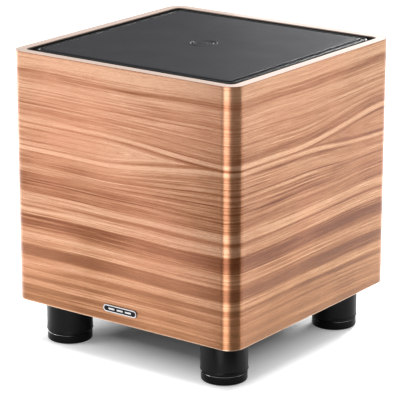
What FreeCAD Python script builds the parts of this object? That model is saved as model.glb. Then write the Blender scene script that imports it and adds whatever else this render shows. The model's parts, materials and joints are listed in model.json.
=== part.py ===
"""Cube subwoofer: walnut-veneered box on four turned feet, down-firing 8 inch drive unit, rear amplifier.

Millimetres. +Z is up and the floor is z = 0. The front, with the badge, faces -Y and the amplifier +Y.
The origin is on the floor under the middle of the cabinet.
"""

import FreeCAD
import Part
import math
import os

V = FreeCAD.Vector
AXIS_X = V(1, 0, 0)
AXIS_Y = V(0, 1, 0)
AXIS_Z = V(0, 0, 1)
OUT = "parts"

# Cabinet
cab_side = 320.0
cab_height = 302.0
foot_height = 54.5
corner_r = 18.0
veneer_t = 0.6
wall_t = 25.0
lipping_w = 12.0
recess_depth = 25.0
recess_corner_r = 8.0
top_board_t = 18.0
baffle_t = 25.0
brace_t = 18.0
brace_z = 205.0
brace_rear_y = 70.0
brace_window = 85.0

# Leather top panel
leather_t = 1.5
leather_side = 284.0
leather_drop = 0.8
leather_corner_r = 12.0
leather_edge_r = 5.0
top_screw_at = 110.0

# Badge
badge_l = 48.0
badge_h = 8.5
badge_t = 1.5
badge_z = 71.0
badge_pin_at = 17.0
badge_pin_r = 1.0

# Feet
foot_r = 27.5
foot_at = 114.3
bead_r = 27.9
ring_r = 27.0
ring_shoulder = 1.4
neck_r = 25.4
groove_bottom = 11.6
groove_top = 13.3
ring_bottom = 0.8
pad_r = 22.0
pad_t = 2.4
stud_r = 4.0
stud_head_r = 6.5
stud_head_t = 5.0
stud_into_baffle = 18.0
hole_slack = 0.1

# Drive unit. Its frame sits in the baffle from below, so its levels are counted up from the baffle's face.
frame_r = 106.0
flange_t = 4.5
gasket_t = 1.0
cutout_r = 97.5
basket_wall_t = 3.5
basket_top_r = 64.0
seat_z = 57.5
seat_t = 6.0
ledge_z = 43.5
ledge_t = 3.0
driver_screw_r = 2.2
driver_screws = 8
driver_screw_at = 101.0
driver_screw_length = 22.0
roll_outer_r = 92.0
roll_inner_r = 74.0
roll_r = 9.0
roll_t = 1.2
cone_t = 1.5
cone_height = 38.0
dust_cap_r = 36.0
dust_cap_rise = 11.0
dust_cap_t = 1.0
former_r = 25.4
former_t = 0.5
winding_t = 1.3
winding_length = 22.0
spider_r = 60.0
spider_t = 0.8
spider_wave = 1.1
spider_waves = 3
plate_t = 8.0
plate_r = 62.0
magnet_t = 20.0
magnet_r = 66.0
magnet_hole_r = 32.0
gap_outer_r = 27.6
pole_r = 24.2
pole_vent_r = 8.0
yoke_t = 8.0
tinsel_r = 0.6
terminal_angle = 135.0

# Amplifier. Its plate lies at the bottom of a recess in the rear panel.
amp_w = 230.0
amp_h = 200.0
amp_z = 205.5
amp_t = 3.0
amp_corner_r = 7.0
amp_edge_gap = 1.0
amp_lip = 12.0
amp_recess = 15.0
amp_gasket_t = 1.0
amp_screw_inset = 6.0
amp_screw_r = 1.9
amp_screw_head_r = 3.6
amp_screw_head_t = 2.2
board_w = 196.0
board_h = 92.0
board_z = 248.0
board_t = 1.6
board_stand_off = 22.0
cap_r = 11.0
cap_h = 34.0
toroid_x = 55.0
toroid_z = 159.5
toroid_r = 40.0
toroid_hole_r = 15.0
toroid_h = 36.0
control_z = 276.0
level_x = 66.0
crossover_x = 18.0
knob_r = 11.0
knob_h = 12.0
knob_lift = 0.6
shaft_r = 3.0
running_gap = 0.05
bush_r = 4.0
pot_side = 17.0
pot_t = 9.0
phase_x = -30.0
phase_travel = 5.0
lever_side = 5.0
lamp_x = -70.0
lamp_r = 2.5
phono_z = 228.0
phono_xs = (66.0, 42.0, 18.0)
phono_r = 4.15
phono_bore_r = 1.6
phono_length = 9.0
inlet_x = -58.0
inlet_z = 138.0
inlet_w = 27.6
inlet_h = 32.0
inlet_depth = 24.0
socket_w = 24.2
socket_h = 15.6
socket_depth = 17.0
drawer_w = 23.2
drawer_h = 7.8
drawer_depth = 19.0
slide_gap = 0.3
fuse_r = 2.5
fuse_l = 20.0
rocker_x = -14.0
rocker_w = 11.0
rocker_l = 18.0
rocker_tilt = 8.0
trunnion_r = 1.2
cable_r = 2.5

# Levels worked out from the above
floor_z = foot_height
top_z = foot_height + cab_height
recess_z = top_z - recess_depth
half = cab_side / 2
inner_half = half - wall_t
panel_half = half - veneer_t
ceiling_z = recess_z - top_board_t
plate_face_y = half - amp_recess
plate_back_y = plate_face_y - amp_t
amp_seat_y = plate_back_y - amp_gasket_t


def save(name, shape):
    """Writes one sub-part as a STEP file."""
    if isinstance(shape, (list, tuple)):
        shape = Part.makeCompound(list(shape))
    for solid in shape.Solids:
        if not solid.isValid():
            raise ValueError(name + " is not a valid solid")
    shape.exportStep(os.path.join(OUT, name + ".step"))


def box(x0, x1, y0, y1, z0, z1):
    return Part.makeBox(x1 - x0, y1 - y0, z1 - z0, V(x0, y0, z0))


def disc(r, z0, z1, x=0.0, y=0.0):
    """Upright cylinder."""
    return Part.makeCylinder(r, z1 - z0, V(x, y, z0), AXIS_Z)


def tube(r_out, r_in, z0, z1):
    return disc(r_out, z0, z1).cut(disc(r_in, z0 - 1, z1 + 1))


def rod_y(r, y0, y1, x, z):
    """Cylinder that runs front to back."""
    return Part.makeCylinder(r, y1 - y0, V(x, y0, z), AXIS_Y)


def rounded_block(w, d, r, z0, z1):
    """Upright block about the Z axis with rounded vertical edges."""
    block = box(-w / 2, w / 2, -d / 2, d / 2, z0, z1)
    upright = [e for e in block.Edges if abs(e.tangentAt(e.FirstParameter).z) > 0.99]
    return block.makeFillet(r, upright)


def rounded_slab(w, h, r, y0, y1, x, z):
    """Block that lies in the rear panel's plane, with its four corners rounded."""
    slab = rounded_block(w, h, r, y0, y1)
    slab.rotate(V(0, 0, 0), AXIS_X, -90)
    slab.translate(V(x, 0, z))
    return slab


def revolve(points):
    """Solid turned about the Z axis from a closed outline of (r, z) points, with each arc as a triple."""
    edges = []
    last = points[0]
    for step in points[1:] + [points[0]]:
        if isinstance(step[0], tuple):
            middle, end = step
            edges.append(Part.Arc(*[V(p[0], 0, p[1]) for p in (last, middle, end)]).toShape())
            last = end
        elif step != last:
            edges.append(Part.makeLine(V(last[0], 0, last[1]), V(step[0], 0, step[1])))
            last = step
    face = Part.Face(Part.Wire(edges))
    solid = face.revolve(V(0, 0, 0), AXIS_Z, 360)
    return Part.Solid(Part.Shell(solid.Faces))


def around(shape, count, start=0.0):
    """Copies of a shape, evenly spaced about the Z axis."""
    copies = []
    for i in range(count):
        copy = shape.copy()
        copy.rotate(V(0, 0, 0), AXIS_Z, start + i * 360.0 / count)
        copies.append(copy)
    return copies


def corners(distance):
    """The four places at this distance from both middle planes, with the name of each."""
    places = {}
    for depth, y in (("front", -distance), ("rear", distance)):
        for side, x in (("left", -distance), ("right", distance)):
            places[depth + "_" + side] = (x, y)
    return places


def bent_tube(points, r):
    """Round tube along straight runs joined by tangent arcs."""
    edges = []
    start = points[0]
    for i in range(1, len(points) - 1):
        back = (points[i - 1] - points[i])
        ahead = (points[i + 1] - points[i])
        set_back = 0.45 * min(back.Length, ahead.Length)
        enter = points[i] + back.normalize() * set_back
        leave = points[i] + ahead.normalize() * set_back
        inward = (enter + leave) * 0.5 - points[i]
        half_turn = (math.pi - back.getAngle(ahead)) / 2
        bend_r = set_back / math.tan(half_turn)
        rise = bend_r * (1 / math.cos(half_turn) - 1)
        middle = points[i] + inward.normalize() * rise
        edges.append(Part.makeLine(start, enter))
        edges.append(Part.Arc(enter, middle, leave).toShape())
        print("bend radius %.1f mm in a tube of %.1f mm" % (bend_r, 2 * r))
        start = leave
    edges.append(Part.makeLine(start, points[-1]))
    path = Part.Wire(edges)
    section = Part.Wire([Part.makeCircle(r, points[0], points[1] - points[0])])
    swept = path.makePipeShell([section], True, False)
    expected = math.pi * r * r * path.Length
    print("tube volume against section times length: %.4f" % (swept.Volume / expected))
    return swept


# ---------------------------------------------------------------- cabinet

def make_panels():
    """Four wall boards between the corner posts."""
    front = box(-inner_half, inner_half, -panel_half, -inner_half, floor_z, recess_z)
    for x in (-badge_pin_at, badge_pin_at):
        front = front.cut(rod_y(badge_pin_r + hole_slack, -half, -panel_half + 6.2, x, badge_z))
    save("front_panel", front)
    left = box(-panel_half, -inner_half, -inner_half, inner_half, floor_z, recess_z)
    right = box(inner_half, panel_half, -inner_half, inner_half, floor_z, recess_z)
    save("side_panels", [left, right])

    rear = box(-inner_half, inner_half, inner_half, panel_half, floor_z, recess_z)
    save("rear_panel", rear.cut(amp_recess_tool()).cut(amp_hole_tool()).cut(amp_pilot_holes()))


def amp_recess_tool():
    w = amp_w + 2 * amp_edge_gap
    h = amp_h + 2 * amp_edge_gap
    return rounded_slab(w, h, amp_corner_r + amp_edge_gap, amp_seat_y, half + 1, 0, amp_z)


def amp_hole_tool():
    w = amp_w - 2 * amp_lip
    h = amp_h - 2 * amp_lip
    return rounded_slab(w, h, amp_corner_r, inner_half - 1, amp_seat_y + 1, 0, amp_z)


def make_corner_posts():
    posts = []
    for x, y in corners(1).values():
        width = sorted((x * inner_half, x * panel_half))
        depth = sorted((y * inner_half, y * panel_half))
        post = box(*width, *depth, floor_z, recess_z)
        outer = [e for e in post.Edges if abs(e.CenterOfMass.x - x * panel_half) < 0.01
                 and abs(e.CenterOfMass.y - y * panel_half) < 0.01]
        posts.append(post.makeFillet(corner_r - veneer_t, outer))
    save("corner_posts", posts)


def make_top():
    board = box(-inner_half, inner_half, -inner_half, inner_half, ceiling_z, recess_z)
    for x, y in corners(top_screw_at).values():
        board = board.cut(disc(2.0 + hole_slack, ceiling_z - 1, recess_z + 1, x, y))
    save("top_board", board)

    outer = 2 * panel_half
    ring = rounded_block(outer, outer, corner_r - veneer_t, recess_z, top_z)
    opening = cab_side - 2 * lipping_w
    save("top_lipping", ring.cut(rounded_block(opening, opening, recess_corner_r, recess_z - 1, top_z + 1)))


def make_veneer():
    skin = rounded_block(cab_side, cab_side, corner_r, floor_z, top_z)
    inside = 2 * panel_half
    skin = skin.cut(rounded_block(inside, inside, corner_r - veneer_t, floor_z - 1, top_z + 1))
    skin = skin.cut(amp_recess_tool())
    for x in (-badge_pin_at, badge_pin_at):
        skin = skin.cut(rod_y(badge_pin_r + hole_slack, -half - 1, -panel_half + 1, x, badge_z))
    save("veneer_wrap", skin)


def make_baffle():
    baffle = box(-inner_half, inner_half, -inner_half, inner_half, floor_z, floor_z + baffle_t)
    baffle = baffle.cut(disc(frame_r + 1, floor_z - 1, floor_z + flange_t + gasket_t))
    baffle = baffle.cut(disc(cutout_r, floor_z - 1, floor_z + baffle_t + 1))
    for x, y in corners(foot_at).values():
        baffle = baffle.cut(disc(stud_r + hole_slack, floor_z - 1, floor_z + stud_into_baffle + 1, x, y))
    baffle = baffle.cut(Part.makeCompound(driver_screw_holes(driver_screw_r + hole_slack)))
    save("bottom_baffle", baffle)


def make_brace():
    """Shelf that ties the front and side walls, open to the rear for the amplifier."""
    brace = box(-inner_half, inner_half, -inner_half, brace_rear_y, brace_z, brace_z + brace_t)
    window = rounded_block(2 * brace_window, 4 * brace_window, 20, brace_z - 1, brace_z + brace_t + 1)
    window.translate(V(0, brace_window, 0))
    save("shelf_brace", brace.cut(window))


def make_leather_top():
    top = top_z - leather_drop
    side = leather_side
    cover = rounded_block(side, side, leather_corner_r, recess_z, top)
    cover = cover.makeFillet(leather_edge_r, [e for e in cover.Edges if e.BoundBox.ZMin > top - 0.01])
    core_side = side - 2 * leather_t
    core = rounded_block(core_side, core_side, leather_corner_r - leather_t, recess_z, top - leather_t)
    rim = [e for e in core.Edges if e.BoundBox.ZMin > top - leather_t - 0.01]
    core = core.makeFillet(leather_edge_r - leather_t, rim)
    save("leather_cover", cover.cut(core))
    screws = []
    for x, y in corners(top_screw_at).values():
        core = core.cut(disc(2.0 + hole_slack, recess_z - 1, recess_z + 14, x, y))
        head = disc(4.0, ceiling_z - 2.5, ceiling_z, x, y)
        screws.append(head.fuse(disc(2.0, ceiling_z, recess_z + 13, x, y)))
    save("leather_top_board", core)
    save("top_panel_screws", screws)


def make_badge():
    """Plain plaque with a raised rim and three short bars, held by two pins."""
    bar_r = badge_h / 2
    plaque = rounded_slab(badge_l, badge_h, bar_r - 0.1, -half - badge_t, -half, 0, badge_z)
    rim = 1.2
    field = rounded_slab(badge_l - 2 * rim, badge_h - 2 * rim, bar_r - rim - 0.1, -half - badge_t - 1,
                         -half - badge_t + 0.5, 0, badge_z)
    plaque = plaque.cut(field)
    for x in (-12.0, 0.0, 12.0):
        bar = rounded_slab(9.0, 2.0, 0.95, -half - badge_t, -half - badge_t + 0.6, x, badge_z)
        plaque = plaque.fuse(bar)
    for x in (-badge_pin_at, badge_pin_at):
        plaque = plaque.fuse(rod_y(badge_pin_r, -half - 0.2, -panel_half + 6, x, badge_z))
    save("front_badge", plaque)


# ---------------------------------------------------------------- feet

def foot_body():
    """Turned foot: cylinder, a fine bead at its lower end, and a narrow neck that makes the groove."""
    bead_z = groove_top + 1.6
    outline = [
        (stud_r + hole_slack, groove_bottom),
        (neck_r, groove_bottom),
        (neck_r, groove_top),
        (bead_r - 0.4, groove_top),
        ((bead_r, groove_top + 0.8), (bead_r - 0.2, bead_z)),
        (foot_r, bead_z + 1.5),
        (foot_r, foot_height - 0.8),
        (foot_r - 0.8, foot_height),
        (stud_r + hole_slack, foot_height),
    ]
    return revolve(outline)


def foot_ring():
    """Base ring under the groove, hollowed beneath for the rubber pad and the stud's head."""
    outline = [
        (stud_r + hole_slack, groove_bottom),
        (stud_r + hole_slack, pad_t + stud_head_t + 0.2),
        (stud_head_r + 0.2, pad_t + stud_head_t + 0.2),
        (stud_head_r + 0.2, pad_t),
        (pad_r + 0.1, pad_t),
        (pad_r + 0.1, ring_bottom),
        (ring_r - 2.0, ring_bottom),
        ((ring_r - 0.6, ring_bottom + 0.6), (ring_r, ring_bottom + 2.0)),
        (ring_r, groove_bottom - ring_shoulder),
        ((ring_r - 0.293 * ring_shoulder, groove_bottom - 0.293 * ring_shoulder),
         (ring_r - ring_shoulder, groove_bottom)),
    ]
    return revolve(outline)


def foot_pad():
    rounded = ((pad_r - 0.25, 0.25), (pad_r, 0.8))
    return revolve([(0, 0), (pad_r - 0.8, 0), rounded, (pad_r, pad_t), (0, pad_t)])


def foot_stud():
    head = disc(stud_head_r, pad_t + 0.2, pad_t + stud_head_t + 0.2)
    socket = Part.Face(Part.makePolygon([V(3.2 * math.cos(math.radians(a)), 3.2 * math.sin(math.radians(a)),
                                           pad_t) for a in range(0, 361, 60)]))
    head = head.cut(socket.extrude(V(0, 0, 3.2)))
    return head.fuse(disc(stud_r, pad_t + stud_head_t, floor_z + stud_into_baffle))


def make_feet():
    rings = []
    pads = []
    studs = []
    for name, (x, y) in corners(foot_at).items():
        place = V(x, y, 0)
        save("foot_" + name, foot_body().translated(place))
        rings.append(foot_ring().translated(place))
        pads.append(foot_pad().translated(place))
        studs.append(foot_stud().translated(place))
    save("foot_base_rings", rings)
    save("foot_pads", pads)
    save("foot_studs", studs)


# ---------------------------------------------------------------- drive unit

def up(z):
    """Height of a level given above the baffle's lower face."""
    return floor_z + z


def driver_screw_holes(r):
    hole = disc(r, floor_z - 1, up(driver_screw_length), driver_screw_at, 0)
    return around(hole, driver_screws, 180.0 / driver_screws)


def make_basket():
    wall_bottom_r = cutout_r - 1.5
    wall_in = wall_bottom_r - basket_wall_t
    top_in = basket_top_r - basket_wall_t
    lip_z = 2.2
    outline = [
        (wall_in, up(lip_z)),
        (roll_outer_r + 5, up(lip_z)),
        (roll_outer_r + 5, up(0)),
        (frame_r - 0.6, up(0)),
        (frame_r, up(0.6)),
        (frame_r, up(flange_t)),
        (wall_bottom_r, up(flange_t)),
        (basket_top_r, up(seat_z - 5)),
        (basket_top_r, up(seat_z + seat_t)),
        (magnet_hole_r - 2, up(seat_z + seat_t)),
        (magnet_hole_r - 2, up(seat_z)),
        (top_in, up(seat_z)),
        (top_in, up(seat_z - 5)),
    ]
    basket = revolve(outline)
    slope = (wall_in - top_in) / (seat_z - 5 - lip_z)
    ledge_r = wall_in - slope * (ledge_z + ledge_t - lip_z)
    ledge_low_r = wall_in - slope * (ledge_z - lip_z)
    ledge = revolve([(spider_r - 6, up(ledge_z)), (ledge_low_r + 0.5, up(ledge_z)),
                     (ledge_r + 0.5, up(ledge_z + ledge_t)), (spider_r - 6, up(ledge_z + ledge_t))])
    basket = basket.fuse(ledge)
    window = Part.makeCylinder(cutout_r + 5, ledge_z - 12, V(0, 0, up(8)), AXIS_Z, 38)
    window = window.cut(disc(basket_top_r - 12, up(0), up(seat_z)))
    vent_low = V(0, 0, up(ledge_z + ledge_t + 1.6))
    vent = Part.makeCylinder(cutout_r, seat_z - ledge_z - ledge_t - 3, vent_low, AXIS_Z, 34)
    vent = vent.cut(disc(basket_top_r - 12, up(0), up(seat_z)))
    for tool in around(window, 6, terminal_angle - 19) + around(vent, 6, terminal_angle - 17):
        basket = basket.cut(tool)
    basket = basket.cut(Part.makeCompound(driver_screw_holes(driver_screw_r + 0.4)))
    save("driver_basket", basket)

    gasket = tube(frame_r, cutout_r + 0.5, up(flange_t), up(flange_t + gasket_t))
    save("driver_gasket", gasket.cut(Part.makeCompound(driver_screw_holes(driver_screw_r + 0.4))))


def make_driver_screws():
    shank = disc(driver_screw_r, up(0), up(driver_screw_length - 1), driver_screw_at, 0)
    head = disc(4.2, up(-2.4), up(0), driver_screw_at, 0)
    head = head.makeFillet(0.9, [e for e in head.Edges if e.BoundBox.ZMax < up(-2.3)])
    hex_points = [V(driver_screw_at + 1.7 * math.cos(math.radians(a)), 1.7 * math.sin(math.radians(a)),
                    up(-3)) for a in range(0, 361, 60)]
    head = head.cut(Part.Face(Part.makePolygon(hex_points)).extrude(V(0, 0, 2.2)))
    save("driver_screws", around(head.fuse(shank), driver_screws, 180.0 / driver_screws))


def make_surround():
    """Half-roll rubber surround that bulges down, with a flat lip at each edge."""
    middle = (roll_outer_r + roll_inner_r) / 2
    top = up(2.2)
    low = top - roll_t
    outer = roll_r + roll_t / 2
    inner = roll_r - roll_t / 2
    outline = [
        (middle - outer - 3.4, top),
        (middle - inner, top),
        ((middle, top - inner), (middle + inner, top)),
        (roll_outer_r + 4.8, top),
        (roll_outer_r + 4.8, low),
        (middle + outer - 0.15, low),
        ((middle, top - outer), (middle - outer + 0.15, low)),
        (middle - outer - 3.4, low),
    ]
    save("surround", revolve(outline))


def cone_r(z):
    """Radius of the cone's lower face at a height above the cone's edge."""
    return cone_edge_r - (cone_edge_r - former_r) * z / cone_height


cone_edge_z = foot_height + 2.2
cone_edge_r = roll_inner_r - 3.8


def make_cone():
    z0 = cone_edge_z
    lip = roll_inner_r - 0.4
    outline = [
        (cone_edge_r, z0),
        (lip, z0),
        (lip, z0 + cone_t),
        (cone_edge_r + 0.8, z0 + cone_t),
        (former_r + cone_t, z0 + cone_height),
        (former_r, z0 + cone_height),
    ]
    save("cone", revolve(outline))
    cap_z = z0 + cone_height * (cone_edge_r - dust_cap_r) / (cone_edge_r - former_r)
    dome_r = (dust_cap_r ** 2 + dust_cap_rise ** 2) / (2 * dust_cap_rise)
    centre = V(0, 0, cap_z - dust_cap_rise + dome_r)
    dome = Part.makeSphere(dome_r, centre).cut(Part.makeSphere(dome_r - dust_cap_t, centre))
    save("dust_cap", dome.common(disc(dust_cap_r, cap_z - dust_cap_rise - 1, cap_z)))


def make_voice_coil():
    neck_z = cone_edge_z + cone_height
    gap_mid = up(seat_z + seat_t + plate_t / 2)
    wound_low = gap_mid - winding_length / 2
    wound_high = wound_low + winding_length
    save("voice_coil_former", tube(former_r, former_r - former_t, neck_z - 4, wound_high + 1))
    save("voice_coil_winding", tube(former_r + winding_t, former_r, wound_low, wound_high))


def make_spider():
    """Corrugated cloth disc that centres the coil: a run of half waves between two flat lips."""
    z = up(ledge_z + ledge_t)
    start = former_r + 3.0
    end = spider_r - 7.5
    pitch = (end - start) / (2 * spider_waves)
    upper = [(former_r, z + spider_t), (start, z + spider_t)]
    lower = [(former_r, z), (start, z)]
    for i in range(2 * spider_waves):
        sign = -1 if i % 2 else 1
        a = start + i * pitch
        for line, level in ((upper, z + spider_t), (lower, z)):
            line.append(((a + pitch / 2, level + sign * spider_wave), (a + pitch, level)))
    upper.append((spider_r, z + spider_t))
    outline = upper + [(spider_r, z)]
    back = [(end, z)]
    for i in reversed(range(2 * spider_waves)):
        sign = -1 if i % 2 else 1
        a = start + i * pitch
        back.append(((a + pitch / 2, z + sign * spider_wave), (a, z)))
    save("spider", revolve(outline + back + [(former_r, z)]))


def make_motor():
    plate_z = up(seat_z + seat_t)
    magnet_z = plate_z + plate_t
    yoke_z = magnet_z + magnet_t
    save("top_plate", tube(plate_r, gap_outer_r, plate_z, magnet_z))
    save("ring_magnet", tube(magnet_r, magnet_hole_r, magnet_z, yoke_z))
    yoke = disc(plate_r, yoke_z, yoke_z + yoke_t)
    yoke = yoke.makeFillet(2.5, [e for e in yoke.Edges if e.BoundBox.ZMin > yoke_z + yoke_t - 0.01])
    pole = disc(pole_r, plate_z - 2, yoke_z)
    yoke = yoke.fuse(pole).cut(disc(pole_vent_r, plate_z - 3, yoke_z + yoke_t + 1))
    save("yoke", yoke)


def polar(r, z, spread=0.0):
    """Point in the plane of the terminal strip, moved sideways by spread."""
    a = math.radians(terminal_angle)
    return V(r * math.cos(a) - spread * math.sin(a), r * math.sin(a) + spread * math.cos(a), z)


def make_terminals():
    """Strip on the basket's rim with two solder tabs, and the two tinsel leads to the coil."""
    r = basket_top_r
    strip = box(r, r + 2.5, -9, 9, up(seat_z - 5), up(seat_z + seat_t))
    strip = strip.cut(disc(r, floor_z, up(100)))
    for y in (-5.0, 5.0):
        strip = strip.fuse(box(r + 2.5, r + 10, y - 1.6, y + 1.6, up(seat_z + 1), up(seat_z + 1.8)))
    strip.rotate(V(0, 0, 0), AXIS_Z, terminal_angle)
    save("driver_terminals", strip)
    low = up(ledge_z + ledge_t)
    leads = []
    for side in (-1, 1):
        route = [polar(r, low + 6.2, 6.5 * side), polar(r - 9, low + 6.2, 6.2 * side),
                 polar(r - 20, low + 4.4, 5.6 * side), polar(r - 30, low + 5.0, 5.0 * side),
                 polar(former_r + 0.3, low + 7.4, 4.4 * side)]
        lead = bent_tube(route, tinsel_r)
        leads.append(lead.cut(disc(former_r + 0.02, floor_z, up(100))))
    save("tinsel_leads", leads)


# ---------------------------------------------------------------- amplifier

def amp_screw_places():
    """Screw centres round the plate's edge."""
    x_edge = amp_w / 2 - amp_screw_inset
    z_edge = amp_h / 2 - amp_screw_inset
    places = []
    for z in (-z_edge, z_edge):
        for i in range(4):
            places.append((-x_edge + i * 2 * x_edge / 3, amp_z + z))
    return places + [(-x_edge, amp_z), (x_edge, amp_z)]


def amp_pilot_holes():
    return Part.makeCompound([rod_y(amp_screw_r + hole_slack, inner_half + 0.8, amp_seat_y + 1, x, z)
                              for x, z in amp_screw_places()])


def make_amp_plate():
    plate = rounded_slab(amp_w, amp_h, amp_corner_r, plate_back_y, plate_face_y, 0, amp_z)
    rim = [e for e in plate.Edges if e.BoundBox.YMin > plate_face_y - 0.01]
    plate = plate.makeChamfer(0.6, rim)
    y0 = plate_back_y - 1
    y1 = plate_face_y + 1
    holes = [rod_y(amp_screw_r + 0.3, y0, y1, x, z) for x, z in amp_screw_places()]
    holes += [rod_y(bush_r + hole_slack, y0, y1, x, control_z) for x in (level_x, crossover_x)]
    holes += [rod_y(phono_r + 0.9, y0, y1, x, phono_z) for x in phono_xs]
    holes.append(rod_y(lamp_r + hole_slack, y0, y1, lamp_x, control_z))
    holes.append(rod_y(3.1, y0, y1, toroid_x, toroid_z))
    slot = phase_travel + lever_side + 2 * slide_gap
    holes.append(box(phase_x - slot / 2, phase_x + slot / 2, y0, y1, control_z - lever_side / 2 - slide_gap,
                     control_z + lever_side / 2 + slide_gap))
    holes.append(box(inlet_x - inlet_w / 2 - hole_slack, inlet_x + inlet_w / 2 + hole_slack, y0, y1,
                     inlet_z - inlet_h / 2 - hole_slack, inlet_z + inlet_h / 2 + hole_slack))
    holes.append(box(rocker_x - rocker_w / 2 - 2.1, rocker_x + rocker_w / 2 + 2.1, y0, y1,
                     inlet_z - rocker_l / 2 - 2.1, inlet_z + rocker_l / 2 + 2.1))
    for x, z in board_posts():
        holes.append(rod_y(1.6, y0, y1, x, z))
    save("amp_plate", plate.cut(Part.makeCompound(holes)))

    gasket = rounded_slab(amp_w, amp_h, amp_corner_r, amp_seat_y, plate_back_y, 0, amp_z)
    inner_w = amp_w - 2 * amp_lip
    inner_h = amp_h - 2 * amp_lip
    gasket = gasket.cut(rounded_slab(inner_w, inner_h, amp_corner_r, amp_seat_y - 1, y1, 0, amp_z))
    save("amp_gasket", gasket.cut(Part.makeCompound([rod_y(amp_screw_r + 0.3, amp_seat_y - 1, y1, x, z)
                                                     for x, z in amp_screw_places()])))


def make_amp_screws():
    screws = []
    for x, z in amp_screw_places():
        head = rod_y(amp_screw_head_r, plate_face_y, plate_face_y + amp_screw_head_t, x, z)
        head = head.makeFillet(0.8, [e for e in head.Edges if e.BoundBox.YMin > plate_face_y + 1])
        arm = 3.6
        for w, h in ((arm, 0.9), (0.9, arm)):
            slot = box(-w / 2, w / 2, plate_face_y + 1.0, plate_face_y + 5, -h / 2, h / 2)
            slot.translate(V(x, 0, z))
            head = head.cut(slot)
        screws.append(head.fuse(rod_y(amp_screw_r, inner_half + 1.2, plate_face_y, x, z)))
    save("amp_screws", screws)


def board_posts():
    x = board_w / 2 - 6
    z = board_h / 2 - 6
    return [(sx * x, board_z + sz * z) for sx in (-1, 1) for sz in (-1, 1)]


def make_board():
    """Circuit board on four posts, with the filter capacitors on its far side."""
    face_y = plate_back_y - board_stand_off
    low_z = board_z - board_h / 2
    board = box(-board_w / 2, board_w / 2, face_y - board_t, face_y, low_z, low_z + board_h)
    posts = []
    for x, z in board_posts():
        board = board.cut(rod_y(1.6, face_y - board_t - 1, face_y + 1, x, z))
        post = rod_y(3.0, face_y, plate_back_y, x, z)
        post = post.fuse(rod_y(1.5, face_y - board_t - 2.5, plate_back_y + amp_t, x, z))
        posts.append(post)
    save("circuit_board", board)
    save("board_posts", posts)
    back = face_y - board_t
    caps = []
    for i in range(4):
        can = rod_y(cap_r, back - cap_h, back, 10 + i * 2.15 * cap_r, board_z + 18)
        caps.append(can.makeFillet(1.5, [e for e in can.Edges if e.BoundBox.YMax < back - cap_h + 0.01]))
    save("filter_capacitors", caps)


def make_transformer():
    """Toroidal transformer flat on the plate, clamped by one bolt through a dished washer."""
    low = plate_back_y - toroid_h
    ring = disc(toroid_r, 0, toroid_h).cut(disc(toroid_hole_r, -1, toroid_h + 1))
    circles = [e for e in ring.Edges if len(e.Vertexes) == 1]
    ring = ring.makeFillet(9.0, [e for e in circles if abs(e.Curve.Radius - toroid_r) < 0.01])
    ring.rotate(V(0, 0, 0), AXIS_X, -90)
    ring.translate(V(toroid_x, low, toroid_z))
    save("toroidal_transformer", ring)
    washer = rod_y(toroid_r - 8, low - 1.5, low, toroid_x, toroid_z)
    washer = washer.cut(rod_y(3.1, low - 3, low + 1, toroid_x, toroid_z))
    bolt = rod_y(5.0, plate_face_y, plate_face_y + 3, toroid_x, toroid_z)
    bolt = bolt.makeFillet(1.0, [e for e in bolt.Edges if e.BoundBox.YMin > plate_face_y + 1])
    bolt = bolt.fuse(rod_y(2.9, low - 6.5, plate_face_y, toroid_x, toroid_z))
    nut = rod_y(5.5, low - 6.5, low - 1.5, toroid_x, toroid_z)
    nut = nut.cut(rod_y(2.9, low - 7, low, toroid_x, toroid_z))
    save("transformer_fixings", [washer, nut, bolt])


def make_knob(name, x):
    """Fluted knob with a pointer ridge, on the shaft of its potentiometer."""
    y0 = plate_face_y + knob_lift
    y1 = y0 + knob_h
    knob = rod_y(knob_r, y0, y1, x, control_z)
    knob = knob.makeChamfer(0.8, [e for e in knob.Edges if e.BoundBox.YMin > y1 - 0.01])
    flute_at = knob_r + 0.35
    for i in range(20):
        a = math.radians(9 + 18 * i)
        flute_x = x + flute_at * math.sin(a)
        flute_z = control_z + flute_at * math.cos(a)
        knob = knob.cut(rod_y(0.9, y0 + 3.0, y1 + 1, flute_x, flute_z))
    knob = knob.cut(rod_y(7.5, y0 - 1, y0 + 3.5, x, control_z))
    knob = knob.cut(rod_y(shaft_r + 0.02, y0, y0 + 9.0, x, control_z))
    ridge = box(x - 0.6, x + 0.6, y1 - 0.3, y1 + 0.5, control_z + 2.5, control_z + knob_r - 1.2)
    save(name + "_knob", knob.fuse(ridge))
    back = plate_back_y - pot_t + 1.5
    save(name + "_shaft", rod_y(shaft_r, back, y0 + 8.9, x, control_z))


def make_pots():
    """Potentiometer bodies behind the plate, with threaded bushes through it and a nut on each."""
    bodies = []
    nuts = []
    for x in (level_x, crossover_x):
        side = pot_side / 2
        back = plate_back_y - pot_t
        body = box(x - side, x + side, back, plate_back_y, control_z - side, control_z + side)
        body = body.fuse(rod_y(bush_r, plate_back_y - 1, plate_face_y + 3.2, x, control_z))
        body = body.cut(rod_y(shaft_r + running_gap, back + 1.4, plate_face_y + 5, x, control_z))
        bodies.append(body)
        angles = [math.radians(a) for a in range(0, 361, 60)]
        hexagon = Part.makePolygon([V(x + 6.2 * math.cos(a), plate_face_y, control_z + 6.2 * math.sin(a))
                                    for a in angles])
        nut = Part.Face(hexagon).extrude(V(0, 2.2, 0))
        nuts.append(nut.cut(rod_y(bush_r, plate_face_y - 1, plate_face_y + 3, x, control_z)))
    save("potentiometers", bodies + nuts)


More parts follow.
